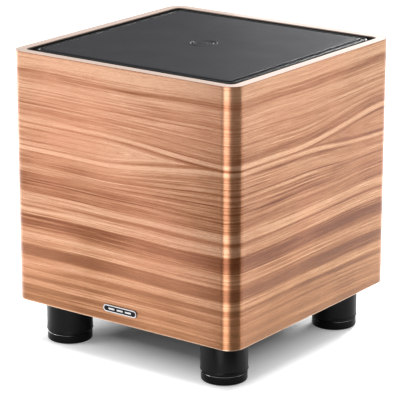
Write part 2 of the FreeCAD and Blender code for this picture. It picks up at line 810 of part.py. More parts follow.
def make_phase_switch():
    """Slide switch: its body is clamped behind the plate, and the lever runs in a slot."""
    depth = 7.0
    back = plate_back_y - depth
    body = box(phase_x - 11, phase_x + 11, back, plate_back_y, control_z - 5.5, control_z + 5.5)
    half_slot = (phase_travel + lever_side) / 2 + slide_gap
    body = body.cut(box(phase_x - half_slot, phase_x + half_slot, plate_back_y - 4.5, plate_back_y + 1,
                        control_z - lever_side / 2 - slide_gap, control_z + lever_side / 2 + slide_gap))
    save("phase_switch_body", body)
    x = phase_x - phase_travel / 2
    lever = box(x - lever_side / 2, x + lever_side / 2, plate_back_y - 4.2, plate_face_y + 4.0,
                control_z - lever_side / 2, control_z + lever_side / 2)
    lever = lever.makeChamfer(0.5, [e for e in lever.Edges if e.BoundBox.YMin > plate_face_y + 3.9])
    for dx in (-1.4, 0.0, 1.4):
        lever = lever.cut(box(x + dx - 0.3, x + dx + 0.3, plate_face_y + 3.5, plate_face_y + 5,
                              control_z - 3, control_z + 3))
    save("phase_lever", lever)


def make_lamp():
    lamp = rod_y(lamp_r, plate_back_y - 3, plate_face_y + 0.6, lamp_x, control_z)
    dome = Part.makeSphere(3.4, V(lamp_x, plate_face_y - 1.7, control_z))
    dome = dome.common(rod_y(lamp_r, plate_face_y, plate_face_y + 4, lamp_x, control_z))
    save("status_lamp", lamp.fuse(dome).removeSplitter())


def make_phono_sockets():
    """Three line-in sockets: plated barrel with a collar, insulating core, centre contact."""
    barrels = []
    cores = []
    contacts = []
    wall = 0.8
    contact_t = 0.5
    for x in phono_xs:
        tip = plate_face_y + 0.8 + phono_length
        barrel = rod_y(phono_r, plate_back_y - 6, tip, x, phono_z)
        barrel = barrel.makeChamfer(0.3, [e for e in barrel.Edges if e.BoundBox.YMin > tip - 0.01])
        barrel = barrel.fuse(rod_y(6.4, plate_face_y, plate_face_y + 0.8, x, phono_z))
        barrels.append(barrel.cut(rod_y(phono_r - wall, plate_back_y - 7, tip + 1, x, phono_z)))
        core = rod_y(phono_r - wall, plate_back_y - 6, tip - 0.6, x, phono_z)
        cores.append(core.cut(rod_y(phono_bore_r + contact_t, plate_back_y - 2, tip + 1, x, phono_z)))
        contact = rod_y(phono_bore_r + contact_t, plate_back_y - 2, tip - 0.6, x, phono_z)
        contacts.append(contact.cut(rod_y(phono_bore_r, plate_back_y - 1, tip + 1, x, phono_z)))
    save("phono_barrels", barrels)
    save("phono_cores", cores)
    save("phono_contacts", contacts)


def make_inlet():
    """Three-pin mains inlet with a fuse drawer below the socket."""
    bezel_w = inlet_w + 4.4
    bezel_h = inlet_h + 4.4
    face = plate_face_y + 2.4
    back = face - inlet_depth
    socket_z = inlet_z + inlet_h / 2 - 3.2 - socket_h / 2
    drawer_z = inlet_z - inlet_h / 2 + 1.8 + drawer_h / 2
    body = rounded_slab(bezel_w, bezel_h, 1.5, plate_face_y, face, inlet_x, inlet_z)
    body = body.makeChamfer(0.6, [e for e in body.Edges if e.BoundBox.YMin > face - 0.01])
    body = body.fuse(box(inlet_x - inlet_w / 2, inlet_x + inlet_w / 2, back, plate_face_y + 1,
                         inlet_z - inlet_h / 2, inlet_z + inlet_h / 2))
    cut = 4.2
    x0, x1 = inlet_x - socket_w / 2, inlet_x + socket_w / 2
    z0, z1 = socket_z - socket_h / 2, socket_z + socket_h / 2
    outline = Part.makePolygon([V(x, face - socket_depth, z) for x, z in (
        (x0, z0), (x1, z0), (x1, z1 - cut), (x1 - cut, z1), (x0 + cut, z1), (x0, z1 - cut), (x0, z0))])
    body = body.cut(Part.Face(outline).extrude(V(0, socket_depth + 1, 0)))
    body = body.cut(box(inlet_x - drawer_w / 2 - slide_gap, inlet_x + drawer_w / 2 + slide_gap,
                        face - drawer_depth - 1.0, face + 1, drawer_z - drawer_h / 2 - slide_gap,
                        drawer_z + drawer_h / 2 + slide_gap))
    pins = []
    for dx, dz in ((-7.0, -1.6), (7.0, -1.6), (0.0, 2.4)):
        x = inlet_x + dx
        z = socket_z + dz
        pin = box(x - 1, x + 1, back - 6, face - 4.5, z - 2, z + 2)
        pins.append(pin.makeChamfer(0.5, [e for e in pin.Edges if e.BoundBox.YMin > face - 4.6]))
        body = body.cut(box(x - 1, x + 1, back - 1, face - socket_depth + 1, z - 2, z + 2))
    save("mains_inlet", body)
    save("inlet_pins", pins)

    drawer = box(inlet_x - drawer_w / 2, inlet_x + drawer_w / 2, face - drawer_depth, face + 0.6,
                 drawer_z - drawer_h / 2, drawer_z + drawer_h / 2)
    fuse_y = face - drawer_depth + 3.2 + fuse_r
    nest = fuse_r + 0.2
    drawer = drawer.cut(box(inlet_x - fuse_l / 2 - 0.2, inlet_x + fuse_l / 2 + 0.2, fuse_y - nest,
                            fuse_y + nest, drawer_z - fuse_r - 0.1, drawer_z + drawer_h))
    drawer = drawer.cut(box(inlet_x - 4, inlet_x + 4, face - 1.0, face + 2, drawer_z - drawer_h,
                            drawer_z - drawer_h / 2 + 1.6))
    save("fuse_drawer", drawer)
    fuse = Part.makeCylinder(fuse_r, fuse_l, V(inlet_x - fuse_l / 2, fuse_y, drawer_z), AXIS_X)
    save("fuse", fuse)


def make_power_switch():
    """Rocker switch: a frame with a pocket, and a rocker on two short trunnions."""
    pivot_y = plate_face_y + 0.6
    frame_w = rocker_w + 4.0
    frame_l = rocker_l + 4.0
    body = rounded_slab(frame_w + 4, frame_l + 4, 1.5, plate_face_y, plate_face_y + 2, rocker_x, inlet_z)
    body = body.makeChamfer(0.5, [e for e in body.Edges if e.BoundBox.YMin > plate_face_y + 1.99])
    body = body.fuse(box(rocker_x - frame_w / 2, rocker_x + frame_w / 2, plate_back_y - 14,
                         plate_face_y + 1, inlet_z - frame_l / 2, inlet_z + frame_l / 2))
    pocket_w = rocker_w / 2 + slide_gap
    pocket_l = rocker_l / 2 + slide_gap
    body = body.cut(box(rocker_x - pocket_w, rocker_x + pocket_w, pivot_y - 8.5, plate_face_y + 3,
                        inlet_z - pocket_l, inlet_z + pocket_l))
    pin_length = rocker_w + 2 * (slide_gap + 1.0)
    body = body.cut(Part.makeCylinder(trunnion_r + running_gap, pin_length + 0.4,
                                      V(rocker_x - pin_length / 2 - 0.2, pivot_y, inlet_z), AXIS_X))
    save("power_switch_body", body)

    reach = rocker_l / 2
    side = Part.makePolygon([V(rocker_x - rocker_w / 2, pivot_y + dy, inlet_z + dz) for dy, dz in (
        (-1.5, -reach + 1.2), (3.4, -reach + 0.6), (1.6, 0.0), (3.4, reach - 0.6), (-1.5, reach - 1.2),
        (-5.0, 3.5), (-5.0, -3.5), (-1.5, -reach + 1.2))])
    rocker = Part.Face(side).extrude(V(rocker_w, 0, 0))
    rocker = rocker.fuse(Part.makeCylinder(trunnion_r, pin_length,
                                           V(rocker_x - pin_length / 2, pivot_y, inlet_z), AXIS_X))
    rocker.rotate(V(rocker_x, pivot_y, inlet_z), AXIS_X, rocker_tilt)
    save("power_rocker", rocker)


def make_speaker_lead():
    """Twin lead, held from a socket on the circuit board to the drive unit's terminal strip."""
    board_back = plate_back_y - board_stand_off - board_t
    x = -60.0
    z = board_z - 30
    end = polar(basket_top_r + 16, up(seat_z + 6))
    route = [V(x, board_back, z), V(x, board_back - 25, z), V(x - 3, board_back - 44, z - 18),
             V(x - 6, board_back - 48, z - 48), V(x - 4, board_back - 52, z - 74), end + V(0, 0, 10), end]
    save("speaker_lead", bent_tube(route, cable_r))


def main():
    os.makedirs(OUT, exist_ok=True)
    make_panels()
    make_corner_posts()
    make_top()
    make_veneer()
    make_baffle()
    make_brace()
    make_leather_top()
    make_badge()
    make_feet()
    make_basket()
    make_driver_screws()
    make_surround()
    make_cone()
    make_voice_coil()
    make_spider()
    make_motor()
    make_terminals()
    make_amp_plate()
    make_amp_screws()
    make_board()
    make_transformer()
    make_knob("level", level_x)
    make_knob("crossover", crossover_x)
    make_pots()
    make_phase_switch()
    make_lamp()
    make_phono_sockets()
    make_inlet()
    make_power_switch()
    make_speaker_lead()


main()
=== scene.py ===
"""Looks for the cube subwoofer: walnut veneer, inset leather top, black turned feet, rear amplifier.

Metres, in the frame of the CAD part: +Z up, the front faces -Y, the origin is on the floor.
"""

import bpy
import bmesh
import json
import math
from mathutils import Matrix, Vector


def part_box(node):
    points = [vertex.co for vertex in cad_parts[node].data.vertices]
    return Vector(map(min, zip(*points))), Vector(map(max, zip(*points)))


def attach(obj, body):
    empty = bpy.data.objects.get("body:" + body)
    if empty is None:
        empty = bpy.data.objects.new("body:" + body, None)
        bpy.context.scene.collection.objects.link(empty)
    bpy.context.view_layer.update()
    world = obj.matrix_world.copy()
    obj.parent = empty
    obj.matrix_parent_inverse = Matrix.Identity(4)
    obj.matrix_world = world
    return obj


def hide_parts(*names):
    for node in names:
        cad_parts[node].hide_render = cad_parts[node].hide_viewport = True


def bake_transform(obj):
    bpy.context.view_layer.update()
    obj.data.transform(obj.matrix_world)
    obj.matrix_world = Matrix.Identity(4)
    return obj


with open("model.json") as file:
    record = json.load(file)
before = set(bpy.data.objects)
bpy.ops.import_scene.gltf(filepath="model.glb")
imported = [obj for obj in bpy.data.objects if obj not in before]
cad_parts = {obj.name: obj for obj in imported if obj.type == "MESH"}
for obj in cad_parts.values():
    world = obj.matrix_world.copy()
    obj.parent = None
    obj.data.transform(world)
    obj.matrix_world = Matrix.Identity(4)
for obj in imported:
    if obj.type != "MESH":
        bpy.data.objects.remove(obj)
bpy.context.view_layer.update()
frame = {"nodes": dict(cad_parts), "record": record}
MM = 0.001
AXIS_Y = Vector((0, 1, 0))
WHITE = (1, 1, 1, 1)
LEATHER_THICKNESS = 0.9 * MM
SEAM_DEPTH = 0.9 * MM       # of the sunk seam inside the leather's piped edge
MARK_HEIGHT = 0.12 * MM     # of the printed marks on the amplifier plate
MARK_WIDTH = 0.55 * MM
MARK_SUNK = 0.02 * MM       # how far a mark starts inside the plate, so no gap shows

AMBIENT = 0.22              # what the white surroundings give to everything but the camera
CARD_HEIGHT = 0.34
CARD_LIFT = 0.5 * MM        # of a card's strip above the floor
CARD_REACH = 0.12           # where the strip ends, as a share of the way from the foot to the card


# ---------------------------------------------------------------- node trees

class Tree:
    """Short names for building one procedural material."""

    def __init__(self, name):
        self.material = bpy.data.materials.new(name)
        self.material.use_nodes = True
        self.nodes = self.material.node_tree.nodes
        self.links = self.material.node_tree.links
        self.shader = self.nodes["Principled BSDF"]
        self.place = self.node("ShaderNodeTexCoord").outputs["Object"]

    def node(self, kind, **settings):
        made = self.nodes.new(kind)
        for key, value in settings.items():
            setattr(made, key, value)
        return made

    def put(self, socket, value):
        """Links an output to a socket, or sets a plain value on it."""
        if isinstance(value, bpy.types.NodeSocket):
            self.links.new(value, socket)
        else:
            socket.default_value = value

    def set(self, **values):
        """Plain values on the shader, by socket name with _ for a space."""
        for key, value in values.items():
            self.shader.inputs[key.replace("_", " ")].default_value = value

    def math(self, operation, a, b=0.0, c=0.0):
        made = self.node("ShaderNodeMath", operation=operation)
        for socket, value in zip(made.inputs, (a, b, c)):
            self.put(socket, value)
        return made.outputs[0]

    def split(self, vector):
        made = self.node("ShaderNodeSeparateXYZ")
        self.put(made.inputs[0], vector)
        return made.outputs[0], made.outputs[1], made.outputs[2]

    def join(self, x, y, z):
        made = self.node("ShaderNodeCombineXYZ")
        for socket, value in zip(made.inputs, (x, y, z)):
            self.put(socket, value)
        return made.outputs[0]

    def stretch(self, vector, scale, move=(0, 0, 0)):
        made = self.node("ShaderNodeMapping")
        self.put(made.inputs["Vector"], vector)
        made.inputs["Scale"].default_value = scale
        made.inputs["Location"].default_value = move
        return made.outputs[0]

    def noise(self, vector, scale, detail=2.0, roughness=0.5, distortion=0.0):
        made = self.node("ShaderNodeTexNoise")
        self.put(made.inputs["Vector"], vector)
        made.inputs["Scale"].default_value = scale
        made.inputs["Detail"].default_value = detail
        made.inputs["Roughness"].default_value = roughness
        made.inputs["Distortion"].default_value = distortion
        return made.outputs["Fac"]

    def cells(self, vector, scale, feature="F1"):
        made = self.node("ShaderNodeTexVoronoi", feature=feature)
        self.put(made.inputs["Vector"], vector)
        made.inputs["Scale"].default_value = scale
        return made.outputs["Distance"]

    def span(self, value, low, high, to_low=0.0, to_high=1.0, smooth=False):
        """Maps low..high to to_low..to_high, held at both ends."""
        made = self.node("ShaderNodeMapRange", interpolation_type="SMOOTHSTEP" if smooth else "LINEAR")
        for socket, number in zip(made.inputs, (value, low, high, to_low, to_high)):
            self.put(socket, number)
        return made.outputs[0]

    def ramp(self, value, stops):
        made = self.node("ShaderNodeValToRGB")
        self.put(made.inputs[0], value)
        elements = made.color_ramp.elements
        while len(elements) < len(stops):
            elements.new(0.5)
        for element, (place, colour) in zip(elements, stops):
            element.position = place
            element.color = (*colour, 1)
        return made.outputs[0]

    def mix(self, share, a, b, kind="MIX"):
        """Mixes two colours."""
        made = self.node("ShaderNodeMix", data_type="RGBA", blend_type=kind)
        self.put(made.inputs[0], share)
        for socket, value in ((made.inputs[6], a), (made.inputs[7], b)):
            self.put(socket, value if isinstance(value, bpy.types.NodeSocket) else (*value, 1))
        return made.outputs[2]

    def bump(self, height, distance, strength=1.0, under=None):
        made = self.node("ShaderNodeBump")
        made.inputs["Strength"].default_value = strength
        made.inputs["Distance"].default_value = distance
        self.put(made.inputs["Height"], height)
        if under is not None:
            self.put(made.inputs["Normal"], under)
        return made.outputs[0]

    def finish(self, colour=None, roughness=None, normal=None):
        for name, value in (("Base Color", colour), ("Roughness", roughness), ("Normal", normal)):
            if value is not None:
                self.put(self.shader.inputs[name], value)
        return self.material


# ---------------------------------------------------------------- wood

WOOD_DARK = (0.116, 0.031, 0.009)
WOOD_BROWN = (0.196, 0.069, 0.027)
WOOD_MID = (0.278, 0.122, 0.061)
WOOD_TAN = (0.348, 0.173, 0.097)
WOOD_LIGHT = (0.450, 0.256, 0.160)
EYE_HEIGHT = 0.2600
EYE_PLACE = 0.055
VENEER_FOOT = 0.0545
VENEER_TOP = 0.3565

CORNER_SHADE_START = 143 * MM     # painted shade: the veneer darkens from here, measured from the middle of a face, to here, on the rounded corners
CORNER_SHADE_END = 150 * MM       # to here, on the rounded corners
# Near-black of the painted shade inside the top recess.
RECESS_SHADE = (0.010, 0.008, 0.008)

# Lightness of the veneer by height in mm, from the bottom edge to the top: pale bands and dark heartwood.
FIGURE = (
    (54, 0.30), (60, 0.05), (66, 0.42), (72, 0.12), (79, 0.50), (85, 0.22), (91, 0.46), (97, 0.16),
    (104, 0.76), (111, 0.20), (119, -0.04), (126, 0.32),
    (135, 0.62), (145, 0.26), (155, 0.02), (163, 0.42), (169, 0.82), (176, 0.40), (184, 0.82), (192, 0.40),
    (215, 0.38), (245, 0.48), (252, 0.40), (256, 0.98), (260, 0.50), (264, 1.05), (269, 0.34), (285, 0.50),
    (310, 0.56), (326, 0.62), (331, 0.28), (340, 0.70), (350, 0.84), (356, 0.56),
)


def grain(tree, along, up, tone):
    """Colour and pore height of wood whose fibres run along one coordinate, given its broad lightness."""
    drift = tree.noise(tree.join(along, 0.0, up), 2.2, 1.0)
    up = tree.math("ADD", up, tree.span(drift, 0, 1, -0.005, 0.005))
    fibres = tree.join(along, 0.0, up)
    line = tree.noise(tree.stretch(fibres, (1.8, 1, 290)), 1.0, 1.0, 0.5)
    streak = tree.noise(tree.stretch(fibres, (5.0, 1, 620)), 1.0, 2.0, 0.6)
    fine = tree.noise(tree.stretch(fibres, (16, 1, 1700)), 1.0, 2.0, 0.6)
    mottle = tree.noise(tree.stretch(fibres, (16, 1, 80)), 1.0, 2.0, 0.6)
    for pattern, depth in ((line, 0.28), (streak, 0.44), (fine, 0.30), (mottle, 0.12)):
        tone = tree.math("ADD", tone, tree.span(pattern, 0.25, 0.75, -depth, depth))
    colour = tree.ramp(tone, [
        (0.02, WOOD_DARK), (0.24, WOOD_BROWN), (0.48, WOOD_MID), (0.70, WOOD_TAN), (0.98, WOOD_LIGHT)])
    pores = tree.noise(tree.stretch(fibres, (60, 1, 2600)), 1.0, 1.0)
    pores = tree.span(pores, 0.60, 0.72, 0.0, 1.0, smooth=True)
    colour = tree.mix(tree.math("MULTIPLY", pores, 0.35), colour, WOOD_DARK)
    return colour, tree.math("SUBTRACT", fine, pores)


def veneer():
    """Walnut that runs level round the box, with an eye that closes near the front right corner."""
    tree = Tree("walnut_veneer")
    x, y, z = tree.split(tree.place)
    along = tree.math("ADD", x, y)
    from_tip = tree.math("ABSOLUTE", tree.math("SUBTRACT", along, EYE_PLACE))
    spread = tree.span(from_tip, 0.07, 0.25, 0.0, 0.0135, smooth=True)
    wander = tree.noise(tree.join(along, 0.0, z), 5.0, 1.0)
    level = tree.math("ADD", z, tree.span(wander, 0, 1, -0.0045, 0.0045))
    offset = tree.math("SUBTRACT", level, EYE_HEIGHT)
    distance = tree.math("ABSOLUTE", offset)
    push = tree.math("MULTIPLY", spread, tree.span(distance, 0.020, 0.060, 1.0, 0.0, smooth=True))
    ring = tree.math("SUBTRACT", distance, push)
    side = tree.math("SIGN", offset)
    broad = tree.math("MULTIPLY_ADD", side, tree.math("MAXIMUM", ring, 0.0), EYE_HEIGHT)
    level = tree.math("ADD", broad, tree.math("MINIMUM", ring, 0.0))
    figure = tree.node("ShaderNodeFloatCurve")
    curve = figure.mapping.curves[0]
    for height, lightness in FIGURE[1:-1]:
        curve.points.new((height * MM - VENEER_FOOT) / (VENEER_TOP - VENEER_FOOT), lightness)
    curve.points[0].location = (0.0, FIGURE[0][1])
    curve.points[-1].location = (1.0, FIGURE[-1][1])
    figure.mapping.update()
    tree.put(figure.inputs["Value"], tree.span(broad, VENEER_FOOT, VENEER_TOP))
    edge = tree.span(tree.math("ABSOLUTE", ring), 0.0004, 0.0014, 0.30, 0.0, smooth=True)
    tone = tree.math("SUBTRACT", figure.outputs[0], edge)
    # Lighter towards the top: partly the wood's own tone, partly painted light from above.
    tone = tree.math("ADD", tone, tree.span(z, 0.12, 0.34, -0.02, 0.14))
    colour, height = grain(tree, along, level, tone)
    blotch = tree.noise(tree.place, 7.0, 2.0)
    colour = tree.mix(tree.span(blotch, 0.40, 0.75, 0.0, 0.30), colour, (0.56, 0.24, 0.15))
    # Warmer and darker on the rounded corners: painted shade.
    turn = tree.math("MINIMUM", tree.math("ABSOLUTE", x), tree.math("ABSOLUTE", y))
    colour = tree.mix(tree.span(turn, CORNER_SHADE_START, CORNER_SHADE_END, 0.0, 0.30, smooth=True), colour,
                      tree.mix(1.0, colour, (0.80, 0.66, 0.50), kind="MULTIPLY"))
    leaf = tree.span(along, -0.03, 0.08, smooth=True)
    colour = tree.mix(leaf, colour, tree.mix(1.0, colour, (1.0, 0.99, 0.90), kind="MULTIPLY"))
    # Darker towards the bottom of the right leaf: painted shade.
    low_shade = tree.math("MULTIPLY", leaf, tree.span(z, 0.06, 0.22, 1.0, 0.0))
    colour = tree.mix(low_shade, colour, tree.mix(1.0, colour, (0.86, 0.84, 0.74), kind="MULTIPLY"))
    olive = tree.span(z, 0.06, 0.17, 0.35, 0.0)
    colour = tree.mix(tree.math("MULTIPLY", olive, blotch), colour, (0.42, 0.24, 0.10))
    top_edge = tree.span(z, VENEER_TOP - 1.1 * MM, VENEER_TOP - 0.6 * MM, 0.0, 0.6)
    colour = tree.mix(top_edge, colour, WOOD_BROWN)
    bottom_edge = tree.span(z, VENEER_FOOT + 0.5 * MM, VENEER_FOOT + 1.1 * MM, 0.6, 0.0)
    colour = tree.mix(bottom_edge, colour, (0.66, 0.48, 0.36))
    tree.set(Metallic=0.60, Specular_IOR_Level=0.1, Coat_Weight=0.15, Coat_Roughness=0.14, Coat_IOR=1.5)
    return tree.finish(colour, tree.span(height, -0.6, 0.8, 0.34, 0.26), tree.bump(height, 0.00003, 0.4))


def lipping():
    """Solid walnut edging: grain along each side, mitred corners, paler with painted sheen, and painted
    shade, near-black, inside the recess.
    """
    tree = Tree("walnut_lipping")
    x, y, z = tree.split(tree.place)
    side = tree.math("GREATER_THAN", tree.math("ABSOLUTE", x), tree.math("ABSOLUTE", y))
    front = tree.math("SUBTRACT", 1.0, side)
    along = tree.math("ADD", tree.math("MULTIPLY", y, side), tree.math("MULTIPLY", x, front))
    across = tree.math("ADD", tree.math("MULTIPLY", x, side), tree.math("MULTIPLY", y, front))
    colour, height = grain(tree, along, tree.math("ADD", across, z), 0.85)
    # Paler and greyer all over: painted sheen of the lacquered rim.
    colour = tree.mix(0.50, colour, (0.60, 0.53, 0.49))
    mitre = tree.math("ABSOLUTE", tree.math("SUBTRACT", tree.math("ABSOLUTE", x), tree.math("ABSOLUTE", y)))
    colour = tree.mix(tree.span(mitre, 0.0001, 0.0004, 0.6, 0.0), colour, WOOD_BROWN)
    # Near-black below the top of the recess: painted shade.
    recess = tree.span(z, VENEER_TOP - 1.5 * MM, VENEER_TOP - 0.5 * MM, 1.0, 0.0)
    colour = tree.mix(recess, colour, RECESS_SHADE)
    tree.set(Coat_Weight=1.0, Coat_Roughness=0.14, Coat_IOR=1.65)
    return tree.finish(colour, 0.45, tree.bump(height, 0.00003, 0.4))


def fibreboard():
    """Raw board, painted black on the underside, with painted shade, near-black, in the top recess."""
    tree = Tree("fibreboard")
    fibre = tree.noise(tree.stretch(tree.place, (1, 1, 3)), 900.0, 3.0, 0.7)
    cloud = tree.noise(tree.place, 30.0, 2.0)
    colour = tree.ramp(fibre, [(0.3, (0.22, 0.14, 0.08)), (0.7, (0.46, 0.32, 0.20))])
    colour = tree.mix(tree.math("MULTIPLY", cloud, 0.3), colour, (0.30, 0.20, 0.12))
    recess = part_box("leather_top_board")[0].z
    x, y, z = tree.split(tree.place)
    # Black paint on the underside; painted shade in the top recess.
    paint_and_shade = tree.math("ADD", tree.span(z, recess - 0.8 * MM, recess - 0.4 * MM),
                        tree.span(z, VENEER_FOOT + 0.4 * MM, VENEER_FOOT + 0.8 * MM, 1.0, 0.0))
    colour = tree.mix(paint_and_shade, colour, (0.010, 0.010, 0.010))
    return tree.finish(colour, 0.85, tree.bump(fibre, 0.0001, 0.6))


# ---------------------------------------------------------------- leather, cloth, paper

def leather(name, dark, light, rough, level):
    """Fine black leather: pebbled cells, creases between them, faint cloudy sheen."""
    tree = Tree(name)
    wander = tree.noise(tree.place, 160.0, 2.0)
    place = tree.join(*[tree.math("MULTIPLY_ADD", wander, 0.0016, axis) for axis in tree.split(tree.place)])
    cells = tree.cells(place, 620.0)
    to_edge = tree.cells(place, 620.0, feature="DISTANCE_TO_EDGE")
    crease = tree.span(to_edge, 0.0, 0.16, 0.0, 1.0, smooth=True)
    cloud = tree.noise(tree.place, 14.0, 3.0)
    colour = tree.mix(tree.span(cloud, 0.35, 0.70), dark, light)
    # Darker in the creases between cells: painted shade.
    colour = tree.mix(tree.span(crease, 0.0, 1.0, 0.55, 0.0), colour, (0.003, 0.003, 0.004))
    height = tree.math("SUBTRACT", crease, tree.math("MULTIPLY", cells, 0.5))
    cloudy = tree.math("ADD", cloud, tree.math("MULTIPLY", crease, 0.2))
    tree.set(Specular_IOR_Level=level)
    return tree.finish(colour, tree.span(cloudy, 0.4, 0.9, rough + 0.05, rough - 0.05),
                       tree.bump(height, 0.00009, 0.5))


def woven(name, light, dark, pitch):
    """Plain weave, seen from above or below."""
    tree = Tree(name)
    x, y, z = tree.split(tree.place)
    over = tree.math("SINE", tree.math("MULTIPLY", x, math.tau / pitch))
    under = tree.math("SINE", tree.math("MULTIPLY", y, math.tau / pitch))
    weave = tree.math("MULTIPLY", over, under)
    fibre = tree.noise(tree.place, 700.0, 2.0)
    tone = tree.math("MULTIPLY_ADD", weave, 0.35, fibre)
    colour = tree.ramp(tone, [(0.25, dark), (0.75, light)])
    return tree.finish(colour, 0.85, tree.bump(tone, 0.0002, 0.7))


def pressed_fibre():
    """Black paper cone with fibres and faint rings."""
    tree = Tree("cone_black")
    x, y, z = tree.split(tree.place)
    radius = tree.math("SQRT", tree.math("ADD", tree.math("MULTIPLY", x, x), tree.math("MULTIPLY", y, y)))
    rings = tree.math("SINE", tree.math("MULTIPLY", radius, math.tau / 0.0021))
    fibre = tree.noise(tree.place, 260.0, 4.0, 0.7, 1.2)
    colour = tree.ramp(fibre, [(0.3, (0.010, 0.010, 0.011)), (0.7, (0.034, 0.034, 0.037))])
    height = tree.math("MULTIPLY_ADD", rings, 0.18, fibre)
    return tree.finish(colour, tree.span(fibre, 0.3, 0.7, 0.72, 0.55), tree.bump(height, 0.00025, 0.7))


# ---------------------------------------------------------------- metals, plastics, paint

def speckled(name, colour, roughness, fineness=900.0, depth=0.00004, metallic=0.0, variation=0.25,
             coat=0.0):
    """Paint, powder coat, moulded plastic or rubber: a fine surface texture and slow changes of tone."""
    tree = Tree(name)
    fine = tree.noise(tree.place, fineness, 3.0, 0.6)
    slow = tree.noise(tree.place, 22.0, 3.0)
    dark = tuple(c * (1 - variation) for c in colour)
    bright = tuple(min(1.0, c * (1 + variation) + 0.002) for c in colour)
    tinted = tree.ramp(tree.math("MULTIPLY_ADD", fine, 0.35, tree.math("MULTIPLY", slow, 0.65)),
                       [(0.35, dark), (0.65, bright)])
    tree.set(Metallic=metallic, Coat_Weight=coat, Coat_Roughness=0.12)
    rough = tree.span(slow, 0.3, 0.7, max(0.03, roughness - 0.06), roughness + 0.06)
    return tree.finish(tinted, rough, tree.bump(fine, depth, 0.5))


def turned_black():
    """Satin black turned aluminium: lathe lines round each foot, softly polished."""
    tree = Tree("foot_black")
    x, y, z = tree.split(tree.place)
    lines = tree.noise(tree.join(0.0, 0.0, z), 5200.0, 2.0, 0.7)
    slow = tree.noise(tree.place, 25.0, 2.0)
    colour = tree.ramp(slow, [(0.3, (0.0030, 0.0030, 0.0034)), (0.7, (0.0050, 0.0050, 0.0056))])
    tree.set(Specular_IOR_Level=0.07, Coat_Weight=0.03, Coat_Roughness=0.12)
    return tree.finish(colour, tree.span(lines, 0.3, 0.7, 0.30, 0.40), tree.bump(lines, 0.00002, 0.35))


def bevelled_black():
    """Gloss black ring whose shoulder, beside the groove, is turned bright."""
    tree = Tree("foot_ring_black")
    x, y, z = tree.split(tree.place)
    low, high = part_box("foot_base_rings")
    bright = tree.span(z, high.z - 0.85 * MM, high.z - 0.70 * MM)
    slow = tree.noise(tree.place, 25.0, 2.0)
    black = tree.ramp(slow, [(0.3, (0.0025, 0.0025, 0.0028)), (0.7, (0.0040, 0.0040, 0.0045))])
    lines = tree.noise(tree.join(0.0, 0.0, z), 5200.0, 2.0, 0.7)
    tree.put(tree.shader.inputs["Metallic"], bright)
    tree.set(Specular_IOR_Level=0.06)
    return tree.finish(tree.mix(bright, black, (0.24, 0.24, 0.24)), tree.span(lines, 0.3, 0.7, 0.16, 0.26),
                       tree.bump(lines, 0.00001, 0.3))


def brushed(name, colour, roughness, direction=(1, 1, 0.02)):
    """Metal with fine lines along one direction."""
    tree = Tree(name)
    lines = tree.noise(tree.stretch(tree.place, direction), 2600.0, 3.0, 0.6)
    slow = tree.noise(tree.place, 30.0, 2.0)
    tinted = tree.mix(tree.math("MULTIPLY", slow, 0.3), colour, tuple(c * 0.7 for c in colour))
    tree.set(Metallic=1.0)
    rough = tree.span(lines, 0.3, 0.7, max(0.05, roughness - 0.07), roughness + 0.09)
    return tree.finish(tinted, rough, tree.bump(lines, 0.00002, 0.4))


def polished(name, colour, roughness):
    """Plated metal with faint smudges."""
    tree = Tree(name)
    smudge = tree.noise(tree.place, 120.0, 3.0, 0.6)
    tinted = tree.mix(tree.math("MULTIPLY", smudge, 0.15), colour, tuple(c * 0.6 for c in colour))
    tree.set(Metallic=1.0)
    return tree.finish(tinted, tree.span(smudge, 0.3, 0.8, roughness, roughness + 0.12),
                       tree.bump(smudge, 0.00001, 0.3))


def enamelled_badge():
    """Bright raised metal with black enamel in the sunk field."""
    tree = Tree("polished_metal")
    x, y, z = tree.split(tree.place)
    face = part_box("front_badge")[0].y
    sunk = tree.span(y, face + 0.0002, face + 0.0004)
    smudge = tree.noise(tree.place, 120.0, 3.0, 0.6)
    bright = tree.mix(tree.math("MULTIPLY", smudge, 0.3), (0.44, 0.44, 0.45), (0.22, 0.22, 0.23))
    tree.set(Metallic=1.0)
    return tree.finish(tree.mix(sunk, bright, (0.012, 0.012, 0.013)),
                       tree.span(smudge, 0.3, 0.8, 0.20, 0.34), tree.bump(smudge, 0.00001, 0.3))


def wound(name, colour, pitch):
    """Enamelled wire wound in level turns about the vertical axis."""
    tree = Tree(name)
    x, y, z = tree.split(tree.place)
    turns = tree.math("ABSOLUTE", tree.math("SINE", tree.math("MULTIPLY", z, math.pi / pitch)))
    valley_shade = tuple(c * 0.45 for c in colour)
    tree.set(Metallic=0.9)
    # Darker between the turns: painted shade.
    return tree.finish(tree.mix(turns, valley_shade, colour), 0.3, tree.bump(turns, 0.0002, 0.8))


def wrapped_tape(centre):
    """Polyester tape laid round a toroid in overlapping turns."""
    tree = Tree("transformer_wrap")
    x, y, z = tree.split(tree.place)
    angle = tree.math("ARCTAN2", tree.math("SUBTRACT", z, centre.z), tree.math("SUBTRACT", x, centre.x))
    turn = tree.math("FRACT", tree.math("MULTIPLY", angle, 44 / math.tau))
    shine = tree.noise(tree.place, 90.0, 3.0)
    colour = tree.ramp(tree.math("MULTIPLY_ADD", shine, 0.4, tree.math("MULTIPLY", turn, 0.6)),
                       [(0.1, (0.42, 0.27, 0.05)), (0.8, (0.80, 0.60, 0.16))])
    tree.set(Coat_Weight=0.4, Coat_Roughness=0.2)
    return tree.finish(colour, 0.35, tree.bump(turn, 0.0003, 0.7))


